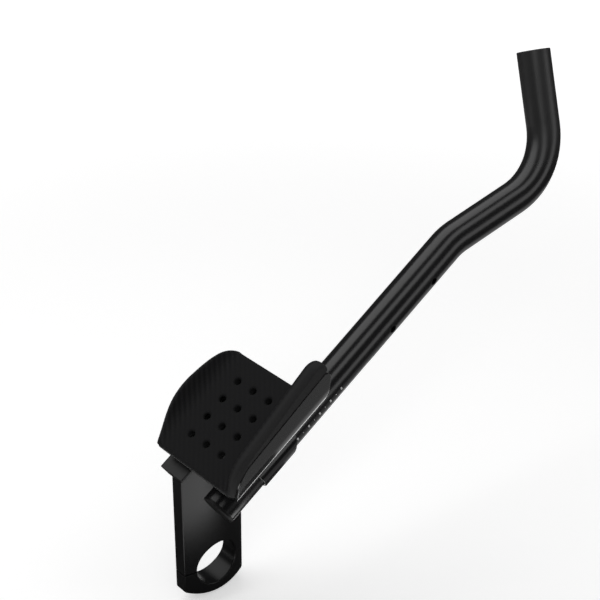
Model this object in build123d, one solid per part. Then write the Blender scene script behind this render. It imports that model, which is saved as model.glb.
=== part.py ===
from build123d import *
import math
import os

# One clip-on aero bar unit, right-hand side, in millimetres.
# The origin is the middle of the handlebar bore; X forward, Y to the inner side, Z up.

# Handlebar clamp and riser
bar_d = 31.8
bar_clear = 0.05
riser_t = 16.6
riser_side_r = 86.0
riser_round = 1.2
foot_wall = 7.0
foot_rear_wall = 9.0
foot_rear_up = 9.0
foot_front_up = 4.2
foot_corner_r = 2.5
clamp_gap = 1.2
rim_break = 0.6

# Extension tube
tube_d = 22.2
tube_wall = 2.0
tube_soft = 0.35
tube_pitch = 30.8
tube_side = 36.0
tube_high = 84.3
tube_rear = -25.3
tube_ahead = 196.7
bend_down_angle = 15.1
bend_down_r = 44.0
tube_mid = 49.0
bend_up_angle = 69.2
bend_up_r = 47.2
tube_tip = 49.2
tube_roll = 29.6
cable_hole_d = 5.0
cable_hole_rear = 131.0
cable_hole_front = 172.5
cable_hole_turn = -6.0

# Plug in the rear end of the tube
plug_lip = 2.0
plug_deep = 12.0
plug_clear = 0.05
plug_wall = 1.8
plug_floor = 0.6
plug_soft = 0.5

# Top flange of the riser, measured square to the tube's line
flange_low = 6.0
flange_top = 13.0
flange_over = 2.05
flange_edge = 1.6
flange_root = 2.3
flange_behind = 0.5
flange_soft = 0.5
web_into = 3.0
front_over = 8.1

# Extension clamp between the riser's flange and the armrest
plate_t = 7.8
clamp_rear = 5.0
clamp_wall = 1.65
clamp_clear = 0.05
clamp_soft = 0.4
clamp_flank = 30.0
ear_root = 2.0
ear_gap = 1.65
ear_inner = 0.45
ear_split_top = 1.0
ear_split = 2.2
ear_low_t = 5.5

# Armrest
pad_t = 6.3
shell_t = 2.0
rest_rear = -18.0
rest_front = 57.3
wing_start = -11.2
wing_r = 15.0
wing_lean = 82.0
wing_rear_up = 23.0
wing_rise = 0.152
wing_sweep = 0.54
wing_sweep_up = -2.5
wing_rear_r = 23.5
wing_tip_r = 9.0
wing_foot_r = 25.0
shell_rear_up = 19.2
shell_rise = 0.055
shell_sweep = 0.56
shell_sweep_up = -5.5
shell_rear_r = 20.0
shell_tip_r = 4.5
shell_lip_drop = 2.5
rim_soft = 1.6
lip_in = 12.3
lip_r = 10.6
lip_lean = 52.0
lip_rise = 10.6
lip_tail = 9.0
lip_tail_out = 5.0
# Height of the lip's arch along its length, both as shares
lip_shape = (
    (0.0, -0.17),
    (0.16, 0.31),
    (0.32, 0.78),
    (0.505, 1.0),
    (0.72, 0.89),
    (0.88, 0.65),
    (0.956, 0.39),
    (1.0, 0.05),
)
hole_mid_a = 20.3
hole_in = 19.0
hole_pitch = 14.3
pad_hole_d = 4.4
shell_hole_d = 5.4

# Fasteners
bar_bolt_d = 4.0
bar_bolt_head_d = 6.0
bar_bolt_head_h = 4.0
bar_bolt_seat = -9.0
bar_bolt_up = 12.0
ear_bolt_d = 5.0
ear_bolt_head_d = 8.5
ear_bolt_head_h = 5.0
ear_bolt_edge = 5.6
ear_bolt_rear = 13.0
ear_bolt_front = 27.0
ear_bolt_up = 14.0
ear_washer_d = 10.0
ear_washer_t = 1.0
rest_bolt_d = 5.0
rest_bolt_head_d = 9.0
rest_bolt_head_h = 2.6
rest_bolt_down = 13.0
rest_washer_d = 10.5
rest_washer_t = 0.8
bolt_clear = 0.1
pocket_clear = 0.3
patch_t = 1.0
patch_l = 26.0
patch_clear = 1.2
patch_edge = 2.2
hole_past = 1.0

# Reach of cutting blocks and of sheets before they are trimmed, past everything
far = 150.0

os.makedirs("parts", exist_ok=True)

bar_r = bar_d / 2 + bar_clear
riser_front = bar_d / 2 + foot_wall
riser_rear = bar_d / 2 + foot_rear_wall
bar_bolts = {"rear": -(bar_r + riser_rear) / 2, "front": (bar_r + riser_front) / 2}
tube_r = tube_d / 2
pitch = math.radians(tube_pitch)
flange_half = riser_t / 2 + flange_over
flange_rear = flange_low * math.tan(pitch) - (riser_rear + flange_behind) / math.cos(pitch)
front_plane = riser_front + front_over
shell_low = flange_top + plate_t
pad_top = shell_low + shell_t + pad_t
clamp_r = tube_r + clamp_clear
clamp_ro = clamp_r + clamp_wall
ear_reach = tube_side - flange_half - ear_gap
ear_bolt_b = ear_reach - ear_bolt_edge
ear_in = clamp_r + ear_inner
lip_start = tube_side + lip_in
hole_mid_b = tube_side - hole_in

# Pieces on the tube's line are drawn along X and then set at its pitch
on_line = Location((0, -tube_side, tube_high), (0, -tube_pitch, 0))


def save(name, shape):
    shape.label = name
    export_step(shape, "parts/" + name + ".step")


def rod(r, z0, z1, x=0.0, y=0.0):
    return Pos(x, y, (z0 + z1) / 2) * Cylinder(r, z1 - z0)


def block(x0, x1, y0, y1, z0, z1):
    return Pos((x0 + x1) / 2, (y0 + y1) / 2, (z0 + z1) / 2) * Box(x1 - x0, y1 - y0, z1 - z0)


def cap_screw(d, head_d, head_h, length, key):
    # Head from 0 down to -head_h with the socket in its lower face, shank up to length
    screw = rod(head_d / 2, -head_h, 0) + rod(d / 2, 0, length)
    rims = screw.edges().filter_by(GeomType.CIRCLE).group_by(Axis.Z)[0]
    screw = chamfer(rims, head_h * 0.1)
    socket = extrude(Plane.XY.offset(-head_h) * RegularPolygon(key / math.sqrt(3), 6), head_h * 0.55)
    return screw - socket


# Riser: a plate with bulged sides and narrow front and rear faces, and a foot about the handlebar
foot_rear_z = foot_rear_up - riser_front
foot_front_z = foot_front_up - riser_front
web_up = flange_low + web_into
web_rear_top = tube_high + (-riser_rear * math.sin(pitch) + web_up) / math.cos(pitch)
web_front_top = tube_high + (riser_front * math.sin(pitch) + web_up) / math.cos(pitch)
with BuildSketch(Plane.XZ) as web_face:
    with BuildLine():
        Line((-riser_rear, foot_rear_z), (-riser_rear, web_rear_top))
        Line((-riser_rear, web_rear_top), (riser_front, web_front_top))
        Line((riser_front, web_front_top), (riser_front, foot_front_z))
        ThreePointArc((riser_front, foot_front_z), (0, -riser_front), (-riser_rear, foot_rear_z))
    make_face()
    for at in ((riser_front, foot_front_z), (-riser_rear, foot_rear_z)):
        near = web_face.vertices().sort_by_distance(Vector(at[0], at[1], 0))[0]
        fillet(near, foot_corner_r)
web = extrude(web_face.sketch, riser_t, both=True)
side_mid = riser_side_r - riser_t / 2
for y in (-side_mid, side_mid):
    web = web & rod(riser_side_r, -far, far, 0, y)


def low_side(e):
    return abs(e.center().Y) > riser_t / 5 and e.center().Z < web_rear_top - 4.0


def bore_rim(e):
    return all(abs(math.hypot((e @ f).X, (e @ f).Z) - bar_r) < 0.01 for f in (0.1, 0.4, 0.8))


web = fillet(web.edges().filter_by(low_side), riser_round)
web = web - Rot(90, 0, 0) * Cylinder(bar_r, riser_t * 2)
rims = web.edges().filter_by(GeomType.LINE, reverse=True).filter_by(bore_rim)
web = chamfer(rims, rim_break)

# Split at the foot: an open slit behind the bar, a closed joint ahead of it
low_z = -clamp_gap / 2
below = block(-far, far, -far, far, -far, low_z)
slit = block(-far, 0, -far, far, low_z, clamp_gap / 2)
cap = web & below
upper = web - below - slit
for x in bar_bolts.values():
    seat = rod(bar_bolt_head_d / 2 + bolt_clear, -far, bar_bolt_seat, x)
    cap = cap - seat - rod(bar_bolt_d / 2 + bolt_clear, -far, far, x)
    upper = upper - rod(bar_bolt_d / 2 + bolt_clear, -far, bar_bolt_up + hole_past, x)

# Top flange, drawn along the tube's line; its sides flare from inside the web to a thin edge
flange_foot = riser_t / 2 - flange_root
flange_rim = flange_top - flange_edge
with BuildSketch(Plane.YZ) as flange_face:
    with BuildLine():
        Polyline((flange_half, flange_top), (flange_half, flange_rim), (flange_foot, flange_low))
        Line((flange_foot, flange_low), (-flange_foot, flange_low))
        Polyline((-flange_foot, flange_low), (-flange_half, flange_rim), (-flange_half, flange_top))
        Line((-flange_half, flange_top), (flange_half, flange_top))
    make_face()
flange = Pos(flange_rear, 0, 0) * extrude(flange_face.sketch, far)
flange = fillet(flange.edges(), flange_soft)
flange = on_line * Pos(0, tube_side, 0) * flange
front_cut = block(front_plane, front_plane + far, -far, far, -far, tube_high + far)
flange = flange - front_cut
riser = upper + flange

rest_rows = [hole_mid_a + hole_pitch * (i - 1.5) for i in range(4)]
rest_cols = [hole_mid_b + hole_pitch * (j - 1) for j in range(3)]
rest_bolts = [(rest_rows[1], rest_cols[2]), (rest_rows[2], rest_cols[2])]
bolt_top = shell_low + shell_t + rest_washer_t
bolt_end = bolt_top - rest_washer_t - shell_t - rest_bolt_down
for a, b in rest_bolts:
    riser = riser - on_line * rod(rest_bolt_d / 2 + bolt_clear, bolt_end - hole_past, far, a, b)
save("riser_bracket", riser)
save("bar_clamp_cap", cap)

bar_key = bar_bolt_d * 0.75
for name, x in bar_bolts.items():
    screw = cap_screw(bar_bolt_d, bar_bolt_head_d, bar_bolt_head_h, bar_bolt_up - bar_bolt_seat, bar_key)
    save("bar_clamp_screw_" + name, Pos(x, 0, bar_bolt_seat) * screw)

# Extension tube, swept along its own bent line; it rolls so that the tip leans inward
roll = math.radians(tube_roll)
bend_plane = Plane(origin=(0, 0, 0), x_dir=(1, 0, 0), z_dir=(0, -math.cos(roll), math.sin(roll)))
tube_start = tube_rear + plug_lip
with BuildLine(bend_plane) as tube_line:
    l1 = Line((tube_start, 0), (tube_ahead, 0))
    l2 = JernArc(start=l1 @ 1, tangent=l1 % 1, radius=bend_down_r, arc_size=-bend_down_angle)
    l3 = PolarLine(start=l2 @ 1, length=tube_mid, direction=l2 % 1)
    l4 = JernArc(start=l3 @ 1, tangent=l3 % 1, radius=bend_up_r, arc_size=bend_up_angle)
    l5 = PolarLine(start=l4 @ 1, length=tube_tip, direction=l4 % 1)
ring_plane = Plane(origin=(tube_start, 0, 0), x_dir=(0, 1, 0), z_dir=(1, 0, 0))
ring = ring_plane * (Circle(tube_r) - Circle(tube_r - tube_wall))
tube = sweep(ring, path=tube_line.line)
for a in (cable_hole_rear, cable_hole_front):
    drill = Pos(0, 0, tube_r) * Cylinder(cable_hole_d / 2, tube_r)
    tube = tube - Pos(a, 0, 0) * Rot(90 - cable_hole_turn, 0, 0) * drill
tip = l5 @ 1
tip_rims = tube.edges().filter_by(GeomType.CIRCLE).filter_by(lambda e: (e.arc_center - tip).length < 0.01)
tube = chamfer(tip_rims, tube_soft)
save("extension_tube", on_line * tube)

# Plug in the rear end
plug_r = tube_r - tube_wall - plug_clear
plug = rod(tube_r, 0, plug_lip) + rod(plug_r, plug_lip, plug_lip + plug_deep)
plug = chamfer(plug.edges().filter_by(GeomType.CIRCLE).group_by(Axis.Z)[0], plug_soft)
plug = plug - rod(plug_r - plug_wall, plug_lip + plug_floor, plug_lip + plug_deep * 2)
save("tube_end_plug", on_line * Pos(tube_rear, 0, 0) * Rot(0, 90, 0) * plug)

# Extension clamp: a plate over the riser's flange with a split ring about the tube
# Its outer flank leaves the ring as a tangent
flank = math.radians(clamp_flank)
flank_foot = (-clamp_ro * math.cos(flank), clamp_ro * math.sin(flank))
flank_top = flank_foot[0] + (shell_low - flank_foot[1]) * math.tan(flank)
with BuildSketch(Plane.YZ) as clamp_face:
    with BuildLine():
        Line((tube_side + flange_half, flange_top), (tube_side + flange_half, shell_low))
        Line((tube_side + flange_half, shell_low), (flank_top, shell_low))
        Line((flank_top, shell_low), flank_foot)
        Line(flank_foot, (0, 0))
        Line((0, 0), (ear_in, 0))
        Line((ear_in, 0), (ear_in, ear_split_top))
        Line((ear_in, ear_split_top), (ear_reach, ear_split_top))
        Line((ear_reach, ear_split_top), (ear_reach, flange_top))
        Line((ear_reach, flange_top), (tube_side + flange_half, flange_top))
    make_face()
    Circle(clamp_ro)
    with BuildLine():
        low0 = ear_split_top - ear_split
        low1 = low0 - ear_low_t
        Polyline((ear_root, low0), (ear_reach, low0), (ear_reach, low1), (ear_root, low1), close=True)
    make_face()
    past = ear_reach + tube_d
    with BuildLine():
        high0 = ear_split_top
        Polyline((ear_root, high0), (past, high0), (past, low0), (ear_root, low0), close=True)
    make_face(mode=Mode.SUBTRACT)
    Circle(clamp_r, mode=Mode.SUBTRACT)
clamp = Pos(clamp_rear, 0, 0) * extrude(clamp_face.sketch, far)
clamp = chamfer(clamp.faces().sort_by(Axis.X)[0].outer_wire().edges(), clamp_soft)
for a in (ear_bolt_rear, ear_bolt_front):
    clamp = clamp - rod(ear_bolt_d / 2 + bolt_clear, -far, ear_bolt_up + hole_past, a, ear_bolt_b)
    clamp = clamp - rod(ear_washer_d / 2 + bolt_clear, -far, low1, a, ear_bolt_b)
for a, b in rest_bolts:
    clamp = clamp - rod(rest_bolt_d / 2 + bolt_clear, -far, far, a, b)
clamp = on_line * clamp - front_cut
save("extension_clamp", clamp)

ear_key = ear_bolt_d * 0.8
ear_seat = low1
for name, a in (("rear", ear_bolt_rear), ("front", ear_bolt_front)):
    washer = rod(ear_washer_d / 2, ear_seat - ear_washer_t, ear_seat, a, ear_bolt_b)
    washer = washer - rod(ear_bolt_d / 2 + bolt_clear, -far, far, a, ear_bolt_b)
    save("tube_clamp_washer_" + name, on_line * washer)
    reach = ear_bolt_up - ear_seat + ear_washer_t
    screw = cap_screw(ear_bolt_d, ear_bolt_head_d, ear_bolt_head_h, reach, ear_key)
    save("tube_clamp_screw_" + name, on_line * Pos(a, ear_bolt_b, ear_seat - ear_washer_t) * screw)

# Armrest: shell and pad share one bent section, trimmed to the same outline
wl = math.radians(wing_lean)
ll = math.radians(lip_lean)
lip_foot = lip_start - lip_r * math.tan(ll / 2)


def rest_section(t0, t1):
    # The sheet between two depths below the pad's top face, in the YZ plane
    def side(t):
        wc = (wing_start, pad_top + wing_r)
        lc = (lip_foot, pad_top + lip_r)
        wr = wing_r + t
        lr = lip_r + t
        w0 = (wc[0], wc[1] - wr)
        wm = (wc[0] - wr * math.sin(wl / 2), wc[1] - wr * math.cos(wl / 2))
        w1 = (wc[0] - wr * math.sin(wl), wc[1] - wr * math.cos(wl))
        w2 = (w1[0] - far * math.cos(wl), w1[1] + far * math.sin(wl))
        l0 = (lc[0], lc[1] - lr)
        lm = (lc[0] + lr * math.sin(ll / 2), lc[1] - lr * math.cos(ll / 2))
        l1 = (lc[0] + lr * math.sin(ll), lc[1] - lr * math.cos(ll))
        l2 = (l1[0] + far * math.cos(ll), l1[1] + far * math.sin(ll))
        return w2, w1, wm, w0, l0, lm, l1, l2

    a = side(t0)
    b = side(t1)
    with BuildSketch(Plane.YZ) as face:
        with BuildLine():
            for s in (a, b):
                Line(s[0], s[1])
                ThreePointArc(s[1], s[2], s[3])
                Line(s[3], s[4])
                ThreePointArc(s[4], s[5], s[6])
                Line(s[6], s[7])
            Line(a[0], b[0])
            Line(a[7], b[7])
        make_face()
    return Pos(rest_rear - far, 0, 0) * extrude(face.sketch, rest_front - rest_rear + 2 * far)


# Outlines seen from the side: square front and rear edges, then the wing with its swept front
# and rounded corners; the shell's wing stops lower than the pad's
def side_outline(rear_up, rise, sweep, sweep_up, rear_r, tip_r):
    rear_c = pad_top + rear_up
    foot_c = pad_top + sweep_up
    # Where the rising rim meets the swept front edge
    tip_c = (rear_c + rise * (rest_front - rest_rear - sweep * foot_c)) / (1 - rise * sweep)
    tip_a = rest_front + sweep * (tip_c - foot_c)
    pts = [
        (rest_rear, -far),
        (rest_rear, rear_c),
        (tip_a, tip_c),
        (rest_front, foot_c),
        (rest_front, -far),
    ]
    with BuildSketch(Plane.XZ) as face:
        with BuildLine():
            Polyline(*pts, close=True)
        make_face()
        for at, r in ((pts[1], rear_r), (pts[2], tip_r), (pts[3], wing_foot_r)):
            near = face.vertices().sort_by_distance(Vector(at[0], at[1], 0))[0]
            fillet(near, r)
    return extrude(face.sketch, far, both=True)


wing_keep = side_outline(wing_rear_up, wing_rise, wing_sweep, wing_sweep_up, wing_rear_r, wing_tip_r)
shell_keep = side_outline(shell_rear_up, shell_rise, shell_sweep, shell_sweep_up, shell_rear_r, shell_tip_r)

# Outline of the low lip on the inner side, seen square to the lip; the shell's lip stops lower
lip_x = Vector(1, 0, 0)
lip_y = Vector(0, math.cos(ll), math.sin(ll))
lip_plane = Plane(origin=(0, lip_start, pad_top), x_dir=lip_x, z_dir=lip_x.cross(lip_y))


def lip_outline(drop):
    span = rest_front - rest_rear
    arch = [(rest_rear + span * f, lip_rise * h - drop) for f, h in lip_shape]
    front_tail = (rest_front + lip_tail_out, -lip_tail)
    rear_tail = (rest_rear - lip_tail_out, -lip_tail)
    front_far = rest_front + far
    rear_far = rest_rear - far
    with BuildSketch(lip_plane) as face:
        with BuildLine():
            Spline(*arch)
            Polyline(arch[-1], front_tail, (front_far, -lip_tail), (front_far, -far))
            Line((front_far, -far), (rear_far, -far))
            Polyline((rear_far, -far), (rear_far, -lip_tail), rear_tail, arch[0])
        make_face()
    return extrude(face.sketch, far, both=True)


shell = rest_section(pad_t, pad_t + shell_t) & shell_keep & lip_outline(shell_lip_drop)
pad = rest_section(0, pad_t) & wing_keep & lip_outline(0)


def wing_rim(e):
    # Both edges of the pad's rim on the wing, at its rounded corners and between them
    spots = [e @ f for f in (0, 0.25, 0.5, 0.75, 1)]
    above = all(q.Z > pad_top + wing_r for q in spots)
    inside = wing_start - wing_r * math.sin(wl)
    return above and all(q.Y < inside for q in spots) and abs((e % 0.5).Y) < 0.2


pad = fillet(pad.edges().filter_by(wing_rim), rim_soft)
for a in rest_rows:
    for b in rest_cols:
        pad = pad - rod(pad_hole_d / 2, -far, far, a, b)
        shell = shell - rod(shell_hole_d / 2, -far, far, a, b)
for a, b in rest_bolts:
    pocket_top = bolt_top + rest_bolt_head_h + pocket_clear
    pad = pad - rod(rest_washer_d / 2 + pocket_clear, -far, pocket_top, a, b)

# Hook-and-loop strips between pad and shell, in shallow pockets of the pad
patch_z = shell_low + shell_t
mid_b = (wing_start + lip_foot) / 2
hole_edge = shell_hole_d / 2 + patch_clear
patch_places = {
    "front": (rest_rows[3] + hole_edge, rest_front - patch_edge),
    "rear": (rest_rear + patch_edge, rest_rows[0] - hole_edge),
}
for name, (a0, a1) in patch_places.items():
    strip = block(a0, a1, mid_b - patch_l / 2, mid_b + patch_l / 2, patch_z, patch_z + patch_t)
    pad = pad - strip
    save("pad_strip_" + name, on_line * strip)
save("armrest_shell", on_line * shell)
save("armrest_pad", on_line * pad)

rest_key = rest_bolt_d * 0.6
for name, (a, b) in zip(("rear", "front"), rest_bolts):
    washer = rod(rest_washer_d / 2, bolt_top - rest_washer_t, bolt_top, a, b)
    washer = washer - rod(rest_bolt_d / 2 + bolt_clear, -far, far, a, b)
    save("armrest_washer_" + name, on_line * washer)
    screw = cap_screw(rest_bolt_d, rest_bolt_head_d, rest_bolt_head_h, bolt_top - bolt_end, rest_key)
    save("armrest_screw_" + name, on_line * Pos(a, b, bolt_top) * Rot(180, 0, 0) * screw)
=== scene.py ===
import bpy
import bmesh
import math
from mathutils import Matrix, Vector


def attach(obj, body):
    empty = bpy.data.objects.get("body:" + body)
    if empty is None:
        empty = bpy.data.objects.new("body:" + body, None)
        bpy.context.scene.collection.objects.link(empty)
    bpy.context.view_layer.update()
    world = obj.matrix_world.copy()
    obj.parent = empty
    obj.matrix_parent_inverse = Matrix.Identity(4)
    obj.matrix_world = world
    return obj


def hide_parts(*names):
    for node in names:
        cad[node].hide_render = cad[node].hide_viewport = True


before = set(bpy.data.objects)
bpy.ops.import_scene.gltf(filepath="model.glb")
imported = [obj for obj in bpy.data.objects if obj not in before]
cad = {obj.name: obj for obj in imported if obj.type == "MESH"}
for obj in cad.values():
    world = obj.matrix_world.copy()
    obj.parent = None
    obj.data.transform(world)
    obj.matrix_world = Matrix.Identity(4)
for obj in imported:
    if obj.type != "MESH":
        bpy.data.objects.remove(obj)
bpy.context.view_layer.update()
mm = 0.001
print("frame loaded,", len(cad), "CAD nodes")

# the tube's line: forward is a, inward is b, square up is c
tubeLine = {"side": -36.0 * mm, "high": 84.3 * mm, "pitch": math.radians(30.8), "radius": 11.1 * mm}
onLine = Matrix.Translation((0, tubeLine["side"], tubeLine["high"]))
onLine = onLine @ Matrix.Rotation(-tubeLine["pitch"], 4, "Y")
forward = Vector((math.cos(tubeLine["pitch"]), 0, math.sin(tubeLine["pitch"])))


def addPiece(name, bm, smooth=True):
    mesh = bpy.data.meshes.new(name)
    bm.to_mesh(mesh)
    bm.free()
    for face in mesh.polygons:
        face.use_smooth = smooth
    piece = bpy.data.objects.new(name, mesh)
    bpy.context.scene.collection.objects.link(piece)
    return piece


def dress(piece, material):
    piece.data.materials.clear()
    piece.data.materials.append(material)


# shader trees: an input takes a link from a socket, or else a plain value
def feed(tree, made, feeds):
    for label, value in feeds.items():
        if isinstance(value, bpy.types.NodeSocket):
            tree.links.new(value, made.inputs[label])
        else:
            made.inputs[label].default_value = value


def node(tree, kind, feeds, **options):
    made = tree.nodes.new(kind)
    for key, value in options.items():
        setattr(made, key, value)
    feed(tree, made, feeds)
    return made.outputs


def calc(tree, operation, *values):
    return node(tree, "ShaderNodeMath", dict(enumerate(values)), operation=operation)[0]


def blend(tree, share, a, b):
    return node(tree, "ShaderNodeMix", {"Factor": share, "A": a, "B": b}, data_type="RGBA")["Result"]


def ramp(tree, value, start, end, low=0.0, high=1.0, kind="SMOOTHSTEP"):
    feeds = {"Value": value, "From Min": start, "From Max": end, "To Min": low, "To Max": high}
    return node(tree, "ShaderNodeMapRange", feeds, interpolation_type=kind)["Result"]


def noise(tree, vector, scale, detail):
    return node(tree, "ShaderNodeTexNoise", {"Vector": vector, "Scale": scale, "Detail": detail})["Fac"]


def newGroup(name, inputs, outputs):
    tree = bpy.data.node_groups.new(name, "ShaderNodeTree")
    for label, kind, value in inputs:
        socket = tree.interface.new_socket(name=label, in_out="INPUT", socket_type=kind)
        if value is not None:
            socket.default_value = value
    for label, kind in outputs:
        tree.interface.new_socket(name=label, in_out="OUTPUT", socket_type=kind)
    start = tree.nodes.new("NodeGroupInput")
    end = tree.nodes.new("NodeGroupOutput")
    return tree, start.outputs, end


def newMaterial(name):
    material = bpy.data.materials.new(name)
    material.use_nodes = True
    tree = material.node_tree
    return material, tree, tree.nodes["Principled BSDF"]


# metal grain: speckle and slow clouds give tone and gloss, the speckle alone gives bump
grainPlan = {"speckleDetail": 3.0, "cloudDetail": 4.0, "speckleShare": 0.45, "cloudShare": 0.55,
             "glossFrom": 0.3, "glossTo": 0.7}


def makeGrain(plan):
    tree, give, end = newGroup(
        "metalGrain",
        [
            ("Vector", "NodeSocketVector", None),
            ("Speckle", "NodeSocketFloat", 2600.0),
            ("Clouds", "NodeSocketFloat", 28.0),
            ("Dark", "NodeSocketColor", (0.01, 0.01, 0.011, 1)),
            ("Light", "NodeSocketColor", (0.016, 0.016, 0.017, 1)),
            ("Gloss low", "NodeSocketFloat", 0.3),
            ("Gloss high", "NodeSocketFloat", 0.4),
        ],
        [("Color", "NodeSocketColor"), ("Roughness", "NodeSocketFloat"), ("Height", "NodeSocketFloat")],
    )
    speckle = noise(tree, give["Vector"], give["Speckle"], plan["speckleDetail"])
    clouds = noise(tree, give["Vector"], give["Clouds"], plan["cloudDetail"])
    both = calc(tree, "ADD", calc(tree, "MULTIPLY", speckle, plan["speckleShare"]),
                calc(tree, "MULTIPLY", clouds, plan["cloudShare"]))
    gloss = ramp(tree, both, plan["glossFrom"], plan["glossTo"],
                 give["Gloss low"], give["Gloss high"], "LINEAR")
    tone = blend(tree, both, give["Dark"], give["Light"])
    feed(tree, end, {"Color": tone, "Roughness": gloss, "Height": speckle})
    return tree


# twill: diagonal wales over the sheet, each broken into short yarns
twillPlan = {"wale": 3.3 * mm, "yarn": 1.1 * mm, "diagonal": 0.7071, "fuzz": 900.0, "fuzzDetail": 3.0,
             "yarnShare": 0.35, "waleShare": 0.65, "middle": 0.4, "bodyShare": 0.75, "fuzzShare": 0.25}


def makeTwill(plan):
    tree, give, end = newGroup(
        "twillWeave",
        [
            ("Vector", "NodeSocketVector", None),
            ("Wale", "NodeSocketFloat", plan["wale"]),
            ("Yarn", "NodeSocketFloat", plan["yarn"]),
            ("Show", "NodeSocketFloat", 1.0),
            ("Dark", "NodeSocketColor", (0.008, 0.008, 0.009, 1)),
            ("Light", "NodeSocketColor", (0.015, 0.015, 0.016, 1)),
        ],
        [("Color", "NodeSocketColor"), ("Height", "NodeSocketFloat")],
    )
    split = node(tree, "ShaderNodeSeparateXYZ", {0: give["Vector"]})
    across = calc(tree, "MULTIPLY", calc(tree, "SUBTRACT", split["X"], split["Y"]), plan["diagonal"])
    along = calc(tree, "MULTIPLY", calc(tree, "ADD", split["X"], split["Y"]), plan["diagonal"])
    walePhase = calc(tree, "MULTIPLY", calc(tree, "DIVIDE", across, give["Wale"]), 2 * math.pi)
    yarnPhase = calc(tree, "MULTIPLY", calc(tree, "DIVIDE", along, give["Yarn"]), 2 * math.pi)
    # both waves run from 0 to 1, and the yarns lean across the wales
    leaning = calc(tree, "ADD", yarnPhase, walePhase)
    wale = calc(tree, "MULTIPLY_ADD", calc(tree, "SINE", walePhase), 0.5, 0.5)
    yarn = calc(tree, "MULTIPLY_ADD", calc(tree, "SINE", leaning), 0.5, 0.5)
    fuzz = noise(tree, give["Vector"], plan["fuzz"], plan["fuzzDetail"])
    broken = calc(tree, "ADD", calc(tree, "MULTIPLY", yarn, plan["yarnShare"]), plan["waleShare"])
    body = calc(tree, "MULTIPLY", wale, broken)
    shown = calc(tree, "MULTIPLY", calc(tree, "SUBTRACT", body, plan["middle"]), give["Show"])
    woven = calc(tree, "MULTIPLY", calc(tree, "ADD", shown, plan["middle"]), plan["bodyShare"])
    level = calc(tree, "ADD", woven, calc(tree, "MULTIPLY", fuzz, plan["fuzzShare"]))
    feed(tree, end, {"Color": blend(tree, level, give["Dark"], give["Light"]), "Height": level})
    return tree


metalGrain = makeGrain(grainPlan)
twillWeave = makeTwill(twillPlan)

# what all the metal finishes share; the plain level is the shader's usual one
metalPlan = {"edgeSamples": 6, "speckleDeep": 0.05 * mm, "plainLevel": 0.5}


def addPaleTipAndRearShade(tree, shader, coords, grain, paleTipAndRearShade):
    # a duller, paler finish towards the upright tip
    split = node(tree, "ShaderNodeSeparateXYZ", {0: coords["Object"]})
    share = ramp(tree, split["Z"], paleTipAndRearShade["low"], paleTipAndRearShade["high"])
    dull = calc(tree, "MULTIPLY", share, paleTipAndRearShade["dull"])
    # painted shade: towards the cut rear end, under the armrest's rear edge, the specular level drops to
    # stand in for the armrest's shade
    along = node(tree, "ShaderNodeVectorMath", {0: coords["Object"], 1: forward}, operation="DOT_PRODUCT")
    start = tubeLine["high"] * math.sin(tubeLine["pitch"])
    fullShadeAt, shadeEndsAt = [a + start for a in paleTipAndRearShade["rear"]]
    level = ramp(tree, along["Value"], fullShadeAt, shadeEndsAt, paleTipAndRearShade["rearShadeLevel"], metalPlan["plainLevel"])
    feed(tree, shader, {
        "Base Color": blend(tree, share, grain["Color"], (*paleTipAndRearShade["color"], 1)),
        "Roughness": calc(tree, "ADD", grain["Roughness"], dull),
        "Specular IOR Level": level,
    })


def metalFinish(name, look):
    material, tree, shader = newMaterial(name)
    coords = node(tree, "ShaderNodeTexCoord", {})
    grain = node(tree, "ShaderNodeGroup", {
        "Vector": coords["Object"], "Speckle": look["speckle"], "Clouds": look["clouds"],
        "Dark": (*look["dark"], 1), "Light": (*look["light"], 1),
        "Gloss low": look["rough"][0], "Gloss high": look["rough"][1],
    }, node_tree=metalGrain)
    # broken edges catch the light
    edge = node(tree, "ShaderNodeBevel", {"Radius": look["edge"] * mm}, samples=metalPlan["edgeSamples"])
    bump = node(tree, "ShaderNodeBump", {
        "Strength": look["bump"], "Distance": metalPlan["speckleDeep"],
        "Height": grain["Height"], "Normal": edge["Normal"],
    })
    feed(tree, shader, {
        "Base Color": grain["Color"], "Roughness": grain["Roughness"], "Normal": bump["Normal"],
        "IOR": look["ior"], "Metallic": look["metallic"],
    })
    if "paleTipAndRearShade" in look:
        addPaleTipAndRearShade(tree, shader, coords, grain, look["paleTipAndRearShade"])
    return material


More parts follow.
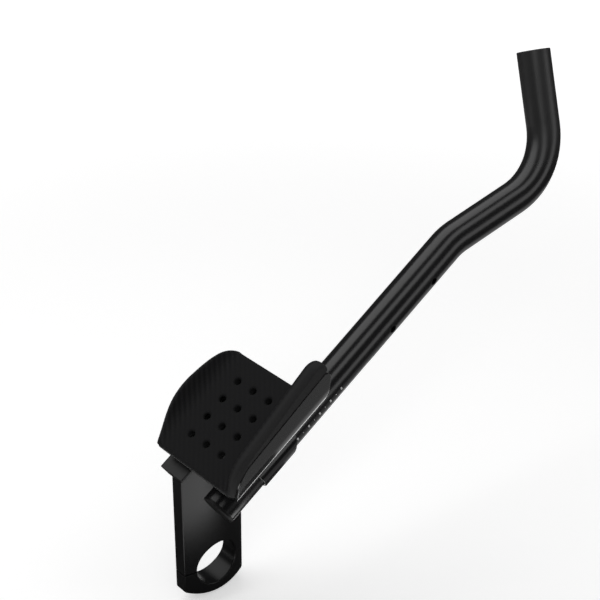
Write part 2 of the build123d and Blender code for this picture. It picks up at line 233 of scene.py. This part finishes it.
finishes = {
    "anodised": {"speckle": 2600, "clouds": 26,
                 "dark": (0.0030, 0.0030, 0.0034), "light": (0.0050, 0.0050, 0.0054),
                 "rough": (0.26, 0.33), "bump": 0.08, "ior": 1.36, "metallic": 0.0, "edge": 0.4},
    "clamp": {"speckle": 2600, "clouds": 26,
              "dark": (0.0030, 0.0030, 0.0034), "light": (0.0050, 0.0050, 0.0054),
              "rough": (0.12, 0.17), "bump": 0.03, "ior": 1.55, "metallic": 0.0, "edge": 0.5},
    "tube": {"speckle": 1800, "clouds": 18,
             "dark": (0.0045, 0.0045, 0.0049), "light": (0.0075, 0.0075, 0.008),
             "rough": (0.20, 0.26), "bump": 0.04, "ior": 1.55, "metallic": 0.0, "edge": 0.3,
             "paleTipAndRearShade": {"low": 0.212, "high": 0.252, "color": (0.019, 0.019, 0.0195), "dull": 0.14,
                      # painted shade: the rear span and its level dim the gloss of the tube's rear end,
                      # standing in for the armrest's shade
                      "rear": (-16.5 * mm, -12.5 * mm), "rearShadeLevel": 0.28}},
    "shell": {"speckle": 1500, "clouds": 30,
              "dark": (0.0084, 0.0084, 0.0088), "light": (0.0101, 0.0101, 0.0105),
              "rough": (0.14, 0.17), "bump": 0.002, "ior": 1.5, "metallic": 0.0, "edge": 0.7},
    # painted shade: the plug's low IOR dims its gloss, standing in for the armrest's shade over the tube's
    # rear end
    "plug": {"speckle": 1900, "clouds": 40,
             "dark": (0.004, 0.004, 0.004), "light": (0.008, 0.008, 0.008),
             "rough": (0.42, 0.52), "bump": 0.15, "ior": 1.25, "metallic": 0.0, "edge": 0.5},
    "screw": {"speckle": 2400, "clouds": 60,
              "dark": (0.005, 0.005, 0.006), "light": (0.011, 0.011, 0.012),
              "rough": (0.34, 0.46), "bump": 0.15, "ior": 1.6, "metallic": 0.0, "edge": 0.3},
    "deepScrew": {"speckle": 2400, "clouds": 60,
                  "dark": (0.003, 0.003, 0.003), "light": (0.006, 0.006, 0.006),
                  "rough": (0.5, 0.6), "bump": 0.15, "ior": 1.2, "metallic": 0.0, "edge": 0.3},
    "washer": {"speckle": 2400, "clouds": 60,
               "dark": (0.30, 0.30, 0.31), "light": (0.42, 0.42, 0.43),
               "rough": (0.28, 0.40), "bump": 0.15, "ior": 1.5, "metallic": 1.0, "edge": 0.2},
    "strip": {"speckle": 1400, "clouds": 80,
              "dark": (0.006, 0.006, 0.006), "light": (0.013, 0.013, 0.013),
              "rough": (0.8, 0.95), "bump": 0.8, "ior": 1.4, "metallic": 0.0, "edge": 0.2},
}
materials = {name: metalFinish(name, look) for name, look in finishes.items()}
wears = {
    "anodised": ["riser_bracket", "bar_clamp_cap"],
    "clamp": ["extension_clamp"],
    "tube": ["extension_tube"],
    "plug": ["tube_end_plug"],
    "shell": ["armrest_shell"],
    "screw": [n for n in cad if "clamp_screw" in n],
    "deepScrew": [n for n in cad if n.startswith(("armrest_screw", "armrest_washer"))],
    "washer": [n for n in cad if n.startswith("tube_clamp_washer")],
    "strip": ["pad_strip_front", "pad_strip_rear"],
}
for finish, names in wears.items():
    for name in names:
        dress(cad[name], materials[finish])
print("finishes on the CAD pieces done")

# armrest pad: moulded foam with a knitted face, from the solid's own outline
padPlan = {
    "weld": 0.002 * mm, "voxel": 0.55 * mm, "rounds": 8, "smooth": 0.5,
    "top": 29.1 * mm, "rear": -18.0 * mm, "deep": 6.3 * mm,
    "wingStart": -11.2 * mm, "wingR": 15.0 * mm, "wingLean": 82.0,
    "lipFoot": 43.13 * mm, "lipR": 10.6 * mm, "lipLean": 52.0,
    # the grid of holes, in mm
    "gridMiddle": (20.3, 17.0), "gridStep": 14.3, "gridCount": (4, 3),
    "holeR": 2.2 * mm, "dimple": 0.35 * mm, "dimpleReach": 2.2 * mm, "dimpleDown": 1.6 * mm,
    # the rims of shell and pad, as heights above the flat
    "shellRim": {"up": 19.2 * mm, "rise": 0.055, "rearR": 20.0 * mm},
    "padRim": {"up": 23.0 * mm, "rise": 0.152, "rearR": 23.5 * mm},
    "swell": 1.7 * mm, "swellOver": 0.8 * mm, "swellUnder": 2.5 * mm, "swellFrom": 0.7,
    "faceFrom": 0.6 * mm, "faceDeep": 3.6 * mm, "flatWeave": 0.2, "fadeOver": 6.0 * mm,
    "dark": (0.0062, 0.0062, 0.0066), "light": (0.0168, 0.0168, 0.0176),
    "foam": (0.028, 0.028, 0.0285), "foamDark": 0.9, "foamLight": 1.1,
    "bump": 0.55, "weaveDeep": 0.25 * mm, "rough": 0.75, "specular": 0.12,
}


def sheetPlace(co, plan):
    # how far round the bent sheet a point lies, and how deep below its padded face
    wing = math.radians(plan["wingLean"])
    lip = math.radians(plan["lipLean"])
    if co.y < plan["wingStart"]:
        sign, foot, bendR, lean = -1, plan["wingStart"], plan["wingR"], wing
    elif co.y > plan["lipFoot"]:
        sign, foot, bendR, lean = 1, plan["lipFoot"], plan["lipR"], lip
    else:
        return co.y, plan["top"] - co.z
    dy = sign * (co.y - foot)
    dz = plan["top"] + bendR - co.z
    turn = math.atan2(dy, dz)
    if 0 <= turn <= lean:
        return foot + sign * bendR * turn, math.hypot(dy, dz) - bendR
    run = dy * math.cos(lean) - dz * math.sin(lean)
    deep = dy * math.sin(lean) + dz * math.cos(lean) - bendR
    return foot + sign * (bendR * lean + run), deep


def rimHigh(a, rim, plan):
    # height of a wing rim above the flat: a slow rise from a rounded rear corner
    on = a - plan["rear"]
    if on >= rim["rearR"]:
        return rim["up"] + rim["rise"] * on
    drop = math.sqrt(max(rim["rearR"] ** 2 - (rim["rearR"] - on) ** 2, 0))
    return rim["up"] + rim["rise"] * on - rim["rearR"] + drop


def soften(x):
    x = min(max(x, 0), 1)
    return x * x * (3 - 2 * x)


def gridLine(plan, way):
    middle, count = plan["gridMiddle"][way], plan["gridCount"][way]
    return [(middle + plan["gridStep"] * (i - (count - 1) / 2)) * mm for i in range(count)]


def padShape(plan):
    # the solid, laid flat on the tube's line, remeshed evenly and smoothed
    bm = bmesh.new()
    bm.from_mesh(cad["armrest_pad"].data)
    bmesh.ops.remove_doubles(bm, verts=bm.verts, dist=plan["weld"])
    bmesh.ops.transform(bm, matrix=onLine.inverted(), verts=bm.verts)
    rough = addPiece("pad_rough", bm)
    even = rough.modifiers.new("even", "REMESH")
    even.mode = "VOXEL"
    even.voxel_size = plan["voxel"]
    seen = rough.evaluated_get(bpy.context.evaluated_depsgraph_get())
    bm = bmesh.new()
    bm.from_mesh(bpy.data.meshes.new_from_object(seen))
    bpy.data.objects.remove(rough)
    for _ in range(plan["rounds"]):
        bmesh.ops.smooth_vert(bm, verts=bm.verts, factor=plan["smooth"],
                              use_axis_x=True, use_axis_y=True, use_axis_z=True)
    # punched holes pull the face down a little round their rims
    holes = [Vector((a, b)) for a in gridLine(plan, 0) for b in gridLine(plan, 1)]
    for v in bm.verts:
        if v.co.z < plan["top"] - plan["dimpleDown"]:
            continue
        gap = min((v.co.xy - hole).length for hole in holes) - plan["holeR"]
        if gap < plan["dimpleReach"]:
            share = 1 - max(gap, 0) / plan["dimpleReach"]
            v.co.z -= plan["dimple"] * share * share
    # above the shell's rim the foam swells out over its edge
    lean = math.radians(plan["wingLean"])
    out = Vector((0, -math.sin(lean), -math.cos(lean)))
    for v in bm.verts:
        deep = sheetPlace(v.co, plan)[1]
        if v.co.y > plan["wingStart"] - plan["wingR"] * plan["swellFrom"] or deep < plan["faceDeep"]:
            continue
        high = v.co.z - plan["top"]
        over = soften((high - rimHigh(v.co.x, plan["shellRim"], plan)) / plan["swellOver"])
        under = soften((rimHigh(v.co.x, plan["padRim"], plan) - high) / plan["swellUnder"])
        back = soften((deep - plan["faceDeep"]) / (plan["deep"] - plan["faceDeep"]))
        v.co += out * plan["swell"] * over * under * back
    return bm


def markSheet(bm, plan):
    # where each point lies on the sheet, how much weave it shows, and face against bare foam
    weave = bm.verts.layers.float_vector.new("weave")
    show = bm.verts.layers.float.new("show")
    face = bm.verts.layers.float.new("face")
    for v in bm.verts:
        along, deep = sheetPlace(v.co, plan)
        v[weave] = (v.co.x, along, deep)
        # the weave shows on the bends, half of it where they start
        past = max(plan["wingStart"] - along, along - plan["lipFoot"])
        share = min(max(past / plan["fadeOver"] + 0.5, 0), 1)
        v[show] = plan["flatWeave"] + (1 - plan["flatWeave"]) * share
        v[face] = 1 - soften((deep - plan["faceFrom"]) / (plan["faceDeep"] - plan["faceFrom"]))


def padKnit(plan):
    material, tree, shader = newMaterial("padKnit")
    place = node(tree, "ShaderNodeAttribute", {}, attribute_name="weave")["Vector"]
    show = node(tree, "ShaderNodeAttribute", {}, attribute_name="show")["Fac"]
    cover = node(tree, "ShaderNodeAttribute", {}, attribute_name="face")["Fac"]
    twill = node(tree, "ShaderNodeGroup", {
        "Vector": place, "Show": show, "Dark": (*plan["dark"], 1), "Light": (*plan["light"], 1),
    }, node_tree=twillWeave)
    foam = node(tree, "ShaderNodeGroup", {
        "Vector": place,
        "Dark": (*[plan["foamDark"] * x for x in plan["foam"]], 1),
        "Light": (*[plan["foamLight"] * x for x in plan["foam"]], 1),
    }, node_tree=metalGrain)
    bump = node(tree, "ShaderNodeBump", {
        "Strength": calc(tree, "MULTIPLY", cover, plan["bump"]), "Distance": plan["weaveDeep"],
        "Height": twill["Height"],
    })
    feed(tree, shader, {
        "Base Color": blend(tree, cover, foam["Color"], twill["Color"]), "Normal": bump["Normal"],
        "Roughness": plan["rough"], "Specular IOR Level": plan["specular"],
    })
    return material


def makePad(plan):
    bm = padShape(plan)
    markSheet(bm, plan)
    bmesh.ops.transform(bm, matrix=onLine, verts=bm.verts)
    pad = addPiece("armrest_pad_soft", bm)
    dress(pad, padKnit(plan))
    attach(pad, "root")
    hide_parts("armrest_pad")
    print("pad done,", len(pad.data.polygons), "faces")


makePad(padPlan)

# white setting ticks along the tube's outer side, long and short by turns
tickPlan = {
    "first": 38.8 * mm, "pitch": 5.2 * mm, "count": 9, "long": (1.2 * mm, 1.9 * mm),
    "short": (0.5 * mm, 0.8 * mm), "off": 0.01 * mm, "thick": 0.05 * mm, "steps": 10,
    "look": {"speckle": 1500, "clouds": 60, "dark": (0.62, 0.62, 0.62), "light": (0.78, 0.78, 0.78),
             "rough": (0.45, 0.6), "bump": 0.1, "ior": 1.45, "metallic": 0.0, "edge": 0.05},
}


def makeTicks(plan):
    bm = bmesh.new()
    radius = tubeLine["radius"] + plan["off"]
    for i in range(plan["count"]):
        wide, reach = plan["long"] if i % 2 == 0 else plan["short"]
        made = bmesh.ops.create_grid(bm, x_segments=1, y_segments=plan["steps"], size=0.5)
        for v in made["verts"]:
            turn = v.co.y * reach / radius
            a = plan["first"] + plan["pitch"] * i + v.co.x * wide
            v.co = Vector((a, -radius * math.cos(turn), radius * math.sin(turn)))
    bmesh.ops.recalc_face_normals(bm, faces=bm.faces)
    for face in bm.faces:
        out = face.calc_center_median()
        if face.normal.dot(Vector((0, out.y, out.z))) < 0:
            face.normal_flip()
    bmesh.ops.solidify(bm, geom=bm.faces[:], thickness=-plan["thick"])
    bmesh.ops.recalc_face_normals(bm, faces=bm.faces)
    bmesh.ops.transform(bm, matrix=onLine, verts=bm.verts)
    ticks = addPiece("tube_setting_ticks", bm, smooth=False)
    dress(ticks, metalFinish("whitePrint", plan["look"]))
    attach(ticks, "root")
    print("ticks done")


makeTicks(tickPlan)

# floor, light and camera
stagePlan = {"floor": -26.0 * mm, "half": 30.0, "albedo": 0.82, "rough": 0.9, "specular": 0.0,
             "lift": 0.5, "farLift": 1.0, "near": 0.45, "far": 1.6, "world": 0.06}


def makeStage(plan):
    bm = bmesh.new()
    bmesh.ops.create_grid(bm, x_segments=1, y_segments=1, size=plan["half"])
    bmesh.ops.translate(bm, vec=(0, 0, plan["floor"]), verts=bm.verts)
    floor = addPiece("floor", bm)
    floor.visible_glossy = False  # the gloss shows the light panels and cards instead
    material, tree, shader = newMaterial("paleFloor")
    path = node(tree, "ShaderNodeLightPath", {})
    seen = calc(tree, "MAXIMUM", path["Is Camera Ray"], path["Is Glossy Ray"])
    seen = calc(tree, "MAXIMUM", seen, path["Is Transmission Ray"])
    # white in the distance, and a little less near the part, where its shadow lies
    coords = node(tree, "ShaderNodeTexCoord", {})
    away = node(tree, "ShaderNodeVectorMath", {0: coords["Object"]}, operation="LENGTH")["Value"]
    lift = ramp(tree, away, plan["near"], plan["far"], plan["lift"], plan["farLift"])
    feed(tree, shader, {
        "Base Color": (plan["albedo"],) * 3 + (1,), "Roughness": plan["rough"],
        "Specular IOR Level": plan["specular"], "Emission Color": (1, 1, 1, 1),
        "Emission Strength": calc(tree, "MULTIPLY", seen, lift),
    })
    dress(floor, material)
    world = bpy.data.worlds.new("studio")
    bpy.context.scene.world = world
    world.use_nodes = True
    sky = {"Color": (1, 1, 1, 1), "Strength": plan["world"]}
    feed(world.node_tree, world.node_tree.nodes["Background"], sky)


makeStage(stagePlan)

# long soft panels laid along the tube: each gives one stripe of gloss
panels = {
    "leftBox": {"way": (-0.222, 0.472, 0.854), "far": 1.3, "wide": 1.15, "long": 2.4, "shift": 0.0,
                "radiance": 1.5, "diffuse": 1.0},
    "rightBox": {"way": (-0.19, -0.545, 0.815), "far": 1.3, "wide": 0.5, "long": 2.4, "shift": 0.0,
                 "radiance": 1.4, "diffuse": 0.35},
    "lowBox": {"way": (0.27, -0.955, 0.075), "far": 1.2, "wide": 0.45, "long": 1.5, "shift": 0.45,
               "radiance": 1.2, "diffuse": 0.3},
}
litSpot = Vector((0.1, -0.036, 0.145))


def makePanel(name, plan):
    light = bpy.data.lights.new(name, "AREA")
    light.shape = "RECTANGLE"
    light.size, light.size_y = plan["long"], plan["wide"]
    light.energy = plan["radiance"] * math.pi * plan["long"] * plan["wide"]
    light.diffuse_factor = plan["diffuse"]
    lamp = bpy.data.objects.new(name, light)
    back = Vector(plan["way"]).normalized()
    side = (forward - back * forward.dot(back)).normalized()
    turn = Matrix((side, back.cross(side), back)).transposed().to_4x4()
    lamp.matrix_world = Matrix.Translation(litSpot + back * plan["far"] + side * plan["shift"]) @ turn
    lamp.visible_camera = False
    bpy.context.scene.collection.objects.link(lamp)


for name, plan in panels.items():
    makePanel(name, plan)

# pale cards on the floor round the part, seen only in its gloss
cards = {
    "tubeCard": {"spots": [(0.12, -0.13), (0.3, -0.18), (0.6, -0.27), (0.8, 0.5), (0.12, 0.5)], "glow": 0.5},
    "riserCard": {"spots": [(-0.05, -0.083), (-0.05, -0.18), (0.066, -0.18), (0.066, -0.083)], "glow": 2.6},
    "shellCard": {"spots": [(0.07, -0.26), (0.3, -0.26), (0.3, -0.11), (0.07, -0.11)], "glow": 0.3},
    "lineCard": {"spots": [(0.05, 0.0), (0.26, 0.0), (0.26, 0.3), (0.05, 0.3)], "glow": 1.6},
    "rearCard": {"spots": [(-0.35, -0.25), (-0.05, -0.25), (-0.05, -0.02), (-0.35, -0.02)], "glow": 2.0},
    "backCard": {"spots": [(-0.7, 0.13), (-0.19, 0.13), (-0.19, 0.5), (-0.7, 0.5)], "glow": 2.4},
}
cardHigh, cardStep = -25.9 * mm, 0.1 * mm


def makeCard(name, plan, high):
    bm = bmesh.new()
    bm.faces.new([bm.verts.new((x, y, high)) for x, y in plan["spots"]])
    bmesh.ops.recalc_face_normals(bm, faces=bm.faces)
    card = addPiece(name, bm)
    card.visible_camera = False
    card.visible_diffuse = False
    card.visible_shadow = False
    material, tree, shader = newMaterial(name)
    feed(tree, shader, {
        "Base Color": (0, 0, 0, 1), "Emission Color": (1, 1, 1, 1), "Emission Strength": plan["glow"],
    })
    dress(card, material)


for i, (name, plan) in enumerate(cards.items()):
    makeCard(name, plan, cardHigh + cardStep * i)

cameraPlan = {"at": (-0.420746, -0.539418, 0.591885), "turn": (59.8002, -0.7616, -42.2287),
              "lens": 81.195, "sensor": 36.0, "clip": (0.01, 200.0)}
lens = bpy.data.cameras.new("photoCamera")
lens.lens = cameraPlan["lens"]
lens.sensor_width = cameraPlan["sensor"]
lens.clip_start, lens.clip_end = cameraPlan["clip"]
camera = bpy.data.objects.new("photoCamera", lens)
camera.location = cameraPlan["at"]
camera.rotation_euler = [math.radians(x) for x in cameraPlan["turn"]]
bpy.context.scene.collection.objects.link(camera)
bpy.context.scene.camera = camera
bpy.context.scene.view_settings.view_transform = "Standard"
print("stage done")
